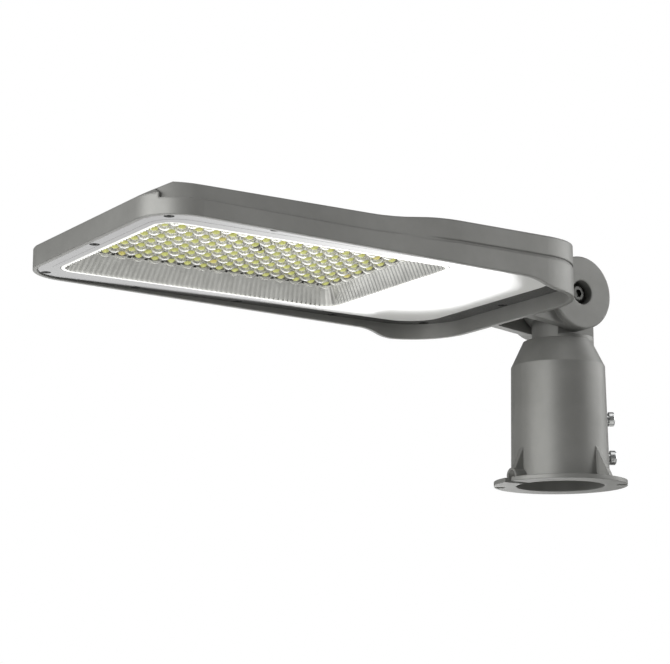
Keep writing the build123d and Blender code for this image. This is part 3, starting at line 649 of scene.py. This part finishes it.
points, faces, kinds, batches = [], [], [], []
for index, (x, y) in enumerate(led_places):
    column, row = divmod(index, ROWS)
    batch = (column * 7 + row * 11 + column * row * 3) % BATCHES / BATCHES
    first_face = len(faces)
    base = len(points)
    for z in (BOARD_FACE, CHIP_FACE):
        points += [(x + LED_HALF * dx, y + LED_HALF * dy, z) for dx, dy in SQUARE]
    faces += [(base, base + 1, base + 2, base + 3), (base + 7, base + 6, base + 5, base + 4)]
    for side in range(4):
        after = base + (side + 1) % 4
        faces.append((base + side, base + side + 4, after + 4, after))
    package_faces = len(faces) - first_face
    kinds += [0] * package_faces
    gel = len(points)
    for ring in range(GEL_RINGS):
        lift = math.pi / 2 * ring / GEL_RINGS
        for side in range(GEL_SIDES):
            turn = 2 * math.pi * side / GEL_SIDES
            reach = GEL_RADIUS * math.cos(lift)
            z = CHIP_FACE - GEL_HEIGHT * math.sin(lift)
            points.append((x + reach * math.cos(turn), y + reach * math.sin(turn), z))
    points.append((x, y, CHIP_FACE - GEL_HEIGHT))
    for side in range(GEL_SIDES):
        after = (side + 1) % GEL_SIDES
        for ring in range(GEL_RINGS - 1):
            a, b = gel + ring * GEL_SIDES, gel + (ring + 1) * GEL_SIDES
            faces.append((a + after, a + side, b + side, b + after))
        last = gel + (GEL_RINGS - 1) * GEL_SIDES
        faces.append((last + after, last + side, len(points) - 1))
    faces.append(tuple(gel + side for side in range(GEL_SIDES)))
    kinds += [1] * (len(faces) - first_face - package_faces)
    batches += [batch**AMBER_POWER] * (len(faces) - first_face)
led_packages = piece(
    "led_packages", points, faces, [CERAMIC, PHOSPHOR_PAINTED_GLOW], "led_chips", kinds
)
stored = led_packages.data.attributes.new("phosphor_batch", "FLOAT", "FACE")
stored.data.foreach_set("value", batches)

# %% [markdown]
# ## The lens plate
# The plate is one clear moulding with a hollow dome over every LED. Each LED has a rectangular
# cell: a ring of points on the cell's edge joins the foot of the dome, and the same rings a wall
# thickness further in make the hollow. Cells meet point to point, so the plate is one closed skin.

# %% Lens mesh
LENS_FACE, LENS_TOP = 135.5, 136.5
DOME_RADIUS, DOME_HEIGHT, DOME_WALL = 5.2, 4.0, 0.6
LENS_REACH, LENS_RIM, LENS_CORNER = 9.5, 1.5, 4.0
CELL_STEPS, DOME_RINGS = 6, 6
DOME_BALL = (DOME_RADIUS**2 + DOME_HEIGHT**2) / (2 * DOME_HEIGHT)
BALL_CENTRE = LENS_FACE - DOME_HEIGHT + DOME_BALL

cell_edge = []
for side in range(4):
    (ax, ay), (bx, by) = SQUARE[side], SQUARE[(side + 1) % 4]
    for step in range(CELL_STEPS):
        part = step / CELL_STEPS
        dx, dy = ax + (bx - ax) * part, ay + (by - ay) * part
        cell_edge.append((dx * PITCH_X / 2, dy * PITCH_Y / 2))
bearings = [math.atan2(y, x) for x, y in cell_edge]


def dome_cell(x, y, ball, plate_z):
    """The rings of one cell, from its edge to the top of its dome, and the dome's top point."""
    rings = [[(x + dx, y + dy, plate_z) for dx, dy in cell_edge]]
    foot = math.acos((BALL_CENTRE - plate_z) / ball)
    for ring in range(DOME_RINGS):
        lean = foot * (1 - ring / DOME_RINGS)
        reach, z = ball * math.sin(lean), BALL_CENTRE - ball * math.cos(lean)
        rings.append([(x + reach * math.cos(t), y + reach * math.sin(t), z) for t in bearings])
    return rings, (x, y, BALL_CENTRE - ball)


points, faces, known = [], [], {}


def shared(point):
    """The number of a point, which neighbouring cells share."""
    key = tuple(round(value, 4) for value in point)
    if key not in known:
        known[key] = len(points)
        points.append(point)
    return known[key]


SKINS = [(DOME_BALL, LENS_FACE, False), (DOME_BALL - DOME_WALL, LENS_TOP, True)]
for ball, plate_z, inside in SKINS:
    for x, y in led_places:
        rings, tip = dome_cell(x, y, ball, plate_z)
        numbers = [[shared(point) for point in ring] for ring in rings]
        numbers.append([shared(tip)] * len(bearings))
        for outer, inner in zip(numbers, numbers[1:]):
            for step in range(len(bearings)):
                after = (step + 1) % len(bearings)
                corners = [outer[step], inner[step], inner[after], outer[after]]
                quad = list(dict.fromkeys(corners))
                faces.append(tuple(reversed(quad)) if inside else tuple(quad))
print("lens skins:", len(points), "points")

# %% Edge of the lens plate
edge_steps = []
rear, front = ARRAY_REAR - PITCH_X / 2, ARRAY_REAR + (COLUMNS - 0.5) * PITCH_X
half = ARRAY_HALF + PITCH_Y / 2
outline = [(front, half), (rear, half), (rear, -half), (front, -half)]
for side in range(4):
    (ax, ay), (bx, by) = outline[side], outline[(side + 1) % 4]
    count = CELL_STEPS * (COLUMNS if side % 2 == 0 else ROWS)
    for step in range(count):
        edge_steps.append((ax + (bx - ax) * step / count, ay + (by - ay) * step / count))


def rim_ring(inset, z):
    """The cells' outer edge moved out to the plate's rounded outline, drawn in by an inset."""
    middle = (rear + front) / 2
    reach_x = front - middle + LENS_REACH - PITCH_X / 2 - inset
    reach_y = half + LENS_REACH - PITCH_Y / 2 - inset
    corner = LENS_CORNER - inset
    ring = []
    for x, y in edge_steps:
        u, v = (x - middle) / (front - middle) * reach_x, y / half * reach_y
        cu, cv = math.copysign(reach_x - corner, u), math.copysign(reach_y - corner, v)
        if abs(u) > reach_x - corner and abs(v) > reach_y - corner:
            away = Vector((u - cu, v - cv)).normalized() * corner
            u, v = cu + away.x, cv + away.y
        ring.append((middle + u, v, z))
    return ring


rim = [[(x, y, LENS_FACE) for x, y in edge_steps], rim_ring(0, LENS_FACE), rim_ring(0, BOARD_FACE)]
rim += [rim_ring(LENS_RIM, BOARD_FACE), rim_ring(LENS_RIM, LENS_TOP)]
rim.append([(x, y, LENS_TOP) for x, y in edge_steps])
numbers = [[shared(point) for point in ring] for ring in rim]
for lower, upper in zip(numbers, numbers[1:]):
    for step in range(len(edge_steps)):
        after = (step + 1) % len(edge_steps)
        faces.append((lower[step], lower[after], upper[after], upper[step]))
piece("lens_plate", points, faces, [ACRYLIC], "lens_array")

# %% [markdown]
# ## The cover screws
# The cover is held by small black socket screws, sunk just below its face. A plain disc would
# look like a dot, so each head gets a chamfered rim and a six-sided socket. One list of rings, with
# a hexagon among the circles, makes the whole head.

# %% Screw mesh
SCREW_SIDES = 24
SCREW_HEAD, SCREW_SHANK, SCREW_KEY = 2.9, 1.5, 1.25
SCREW_FACE, SCREW_SEAT, SCREW_END = 122.2, 123.4, 129.0
SCREW_CHAMFER, SCREW_KEY_DEPTH = 0.3, 0.9


def around_circle(radius):
    """Flat points round a circle."""
    turns = [2 * math.pi * step / SCREW_SIDES for step in range(SCREW_SIDES)]
    return [(radius * math.cos(t), radius * math.sin(t)) for t in turns]


def around_hexagon(apothem):
    """The same number of points, moved onto a hexagon."""
    corner = math.pi / 3
    flat = []
    for step in range(SCREW_SIDES):
        t = 2 * math.pi * step / SCREW_SIDES
        radius = apothem / math.cos((t % corner) - corner / 2)
        flat.append((radius * math.cos(t), radius * math.sin(t)))
    return flat


SCREW_RINGS = [
    (around_circle(SCREW_SHANK), SCREW_END),
    (around_circle(SCREW_SHANK), SCREW_SEAT),
    (around_circle(SCREW_HEAD), SCREW_SEAT),
    (around_circle(SCREW_HEAD), SCREW_FACE + SCREW_CHAMFER),
    (around_circle(SCREW_HEAD - SCREW_CHAMFER), SCREW_FACE),
    (around_hexagon(SCREW_KEY), SCREW_FACE),
    (around_hexagon(SCREW_KEY), SCREW_FACE + SCREW_KEY_DEPTH),
]
HEAD_REAR, HEAD_FRONT, HEAD_HALF = 41.0, 367.0, 96.0
FRONT_CORNER, REAR_CORNER, SCREW_INSET = 29.0, 45.0, 7.2
SIDE_SCREWS = (130.0, 208.0, 286.0)
front_arc = (FRONT_CORNER - SCREW_INSET) * math.sqrt(0.5)
rear_arc = (REAR_CORNER - SCREW_INSET) * math.sqrt(0.5)
screw_places = [(HEAD_FRONT - SCREW_INSET, 0), (HEAD_REAR + SCREW_INSET, 0)]
for hand in (-1, 1):
    front_y, rear_y = HEAD_HALF - FRONT_CORNER + front_arc, HEAD_HALF - REAR_CORNER + rear_arc
    screw_places.append((HEAD_FRONT - FRONT_CORNER + front_arc, hand * front_y))
    screw_places.append((HEAD_REAR + REAR_CORNER - rear_arc, hand * rear_y))
    screw_places += [(x, hand * (HEAD_HALF - SCREW_INSET)) for x in SIDE_SCREWS]

points, faces = [], []
for x, y in screw_places:
    base = len(points)
    for flat, z in SCREW_RINGS:
        points += [(x + dx, y + dy, z) for dx, dy in flat]
    for row in range(len(SCREW_RINGS) - 1):
        for step in range(SCREW_SIDES):
            after = (step + 1) % SCREW_SIDES
            a, b = base + row * SCREW_SIDES + step, base + row * SCREW_SIDES + after
            faces.append((a, a + SCREW_SIDES, b + SCREW_SIDES, b))
    last = base + (len(SCREW_RINGS) - 1) * SCREW_SIDES
    faces.append(tuple(range(base, base + SCREW_SIDES)))
    faces.append(tuple(reversed(range(last, last + SCREW_SIDES))))
piece("socket_screws", points, faces, [BLACK_OXIDE], "cover_screws")

# %% [markdown]
# ## The studio
# A product picture of this kind is shot against pure white. The world is white to the camera and
# dimmer as a light, so that the soft boxes can shape the castings. Two strips in front give the
# head's corner and the sleeve their bright bands, boxes on the right, behind and above light the
# other faces, and low ones fill the underside and the frame's rear wall. The pale floor only
# bounces light: the camera doesn't see it.

# %% Floor and world
FLOOR_Z = -0.6
FLOOR_HALF = 12.0
PAPER_CLOUD_MM = 900
floor_mesh = bpy.data.meshes.new("floor")
floor_mesh.from_pydata(
    [(x * FLOOR_HALF, y * FLOOR_HALF, FLOOR_Z) for x, y in SQUARE], [], [(0, 1, 2, 3)]
)
floor = bpy.data.objects.new("floor", floor_mesh)
bpy.context.scene.collection.objects.link(floor)
floor.visible_camera = False
PAPER, tree, shader, place = start("pale_studio_paper", Roughness=0.9)
cloud = add(
    tree,
    "ShaderNodeTexNoise",
    {"Vector": (place, "Object"), "Scale": per_metre(PAPER_CLOUD_MM), "Detail": 2.0},
)
tint = add(
    tree, "ShaderNodeValToRGB", {"Fac": (cloud, "Fac")}, stops=[(0.3, "#ECECEA"), (0.7, "#F2F2F0")]
)
tree.links.new(tint.outputs["Color"], shader.inputs["Base Color"])
floor_mesh.materials.append(PAPER)

world = bpy.data.worlds.new("white_studio")
bpy.context.scene.world = world
world.use_nodes = True
tree = world.node_tree
tree.nodes.clear()
ambient = add(tree, "ShaderNodeBackground", {"Color": (1, 1, 1, 1), "Strength": 0.16})
backdrop = add(tree, "ShaderNodeBackground", {"Color": (1, 1, 1, 1), "Strength": 1.0})
seen = add(tree, "ShaderNodeLightPath")
both = add(tree, "ShaderNodeMixShader", {0: (seen, "Is Camera Ray"), 1: (ambient, "Background")})
tree.links.new(backdrop.outputs["Background"], both.inputs[2])
add(tree, "ShaderNodeOutputWorld", {"Surface": (both, "Shader")})
print("studio world and floor ready")

# %% Soft boxes
def soft_box(name, place, aim, size, power):
    """A rectangular light that stands at one point and faces another, in metres."""
    light = bpy.data.lights.new(name, "AREA")
    light.shape = "RECTANGLE"
    light.size, light.size_y = size
    light.energy = power
    box = bpy.data.objects.new(name, light)
    bpy.context.scene.collection.objects.link(box)
    box.location = place
    box.rotation_mode = "QUATERNION"
    box.rotation_quaternion = (Vector(aim) - box.location).to_track_quat("-Z", "Y")
    box.visible_camera = False
    return box


HEAD_MIDDLE = (0.1, 0, 0.1)
SLEEVE_MIDDLE = (0, 0, 0.06)
FRAME_REAR_WALL = (0.15, 0, 0.128)
soft_box("front_strip", (1.2, -0.1, 0.22), HEAD_MIDDLE, (0.45, 0.4), 5.1)
soft_box("sleeve_strip", (1.18, 0.52, 0.15), SLEEVE_MIDDLE, (0.28, 0.4), 5.6)
soft_box("right_box", (-1.45, 1.2, 0.75), HEAD_MIDDLE, (0.9, 0.9), 11)
soft_box("rear_box", (-0.89, 0.14, 0.35), (0, 0, 0.08), (0.35, 0.8), 4)
soft_box("top_box", (0.4, 0.52, 1.9), HEAD_MIDDLE, (1.6, 1.6), 10)
soft_box("under_fill", (0.2, 0.05, -0.45), (0.2, 0.1, 0), (0.7, 0.55), 0.5)
soft_box("back_fill", (0.2, -1.05, -0.55), (0.2, -1.0, 0), (1.5, 0.9), 4.2)
soft_box("window_fill", (0.9, -1.1, -0.2), FRAME_REAR_WALL, (1.2, 0.35), 1.1)
print("eight soft boxes")

# %% [markdown]
# ## The graduated card
# The glossy cover is a mirror at this low angle, and what it shows is behind the part and below
# it. A long card stands there, dim over half its length, then brighter towards one end and shaded
# at its very edge, so the white fades along the cover. A mesh with a ramp in its emission does
# that, which a plain lamp can't.

# %% Graduated card
CARD_RIGHT = Vector((-0.837, 0.547, 0))
CARD_UP = Vector((0, 0, 1))
CARD_MIDDLE = Vector((-0.427, -1.579, -0.3))
CARD_HALF_WIDTH, CARD_HALF_HEIGHT = 0.65, 0.29
card_mesh = bpy.data.meshes.new("graduated_card")
card_mesh.from_pydata(
    [
        CARD_MIDDLE + CARD_RIGHT * (CARD_HALF_WIDTH * u) + CARD_UP * (CARD_HALF_HEIGHT * v)
        for u, v in SQUARE
    ],
    [],
    [(0, 1, 2, 3)],
)
card = bpy.data.objects.new("graduated_card", card_mesh)
bpy.context.scene.collection.objects.link(card)
card.visible_camera = False
GLOWING_CARD, tree, shader, place = start(
    "graduated_white_card", Base_Color=(0, 0, 0, 1), Roughness=1.0, Emission_Strength=4.2
)
along = add(tree, "ShaderNodeSeparateXYZ", {"Vector": (place, "Generated")})
fade = add(
    tree,
    "ShaderNodeValToRGB",
    {"Fac": (along, "Y")},
    stops=[
        (0.0, 0.41),
        (0.56, 0.43),
        (0.634, 0.52),
        (0.728, 0.66),
        (0.775, 0.76),
        (0.846, 0.85),
        (0.966, 0.85),
        (1.0, 0.04),
    ],
)
tree.links.new(fade.outputs["Color"], shader.inputs["Emission Color"])
card_mesh.materials.append(GLOWING_CARD)
print("card of", 2 * CARD_HALF_WIDTH, "by", 2 * CARD_HALF_HEIGHT, "m")
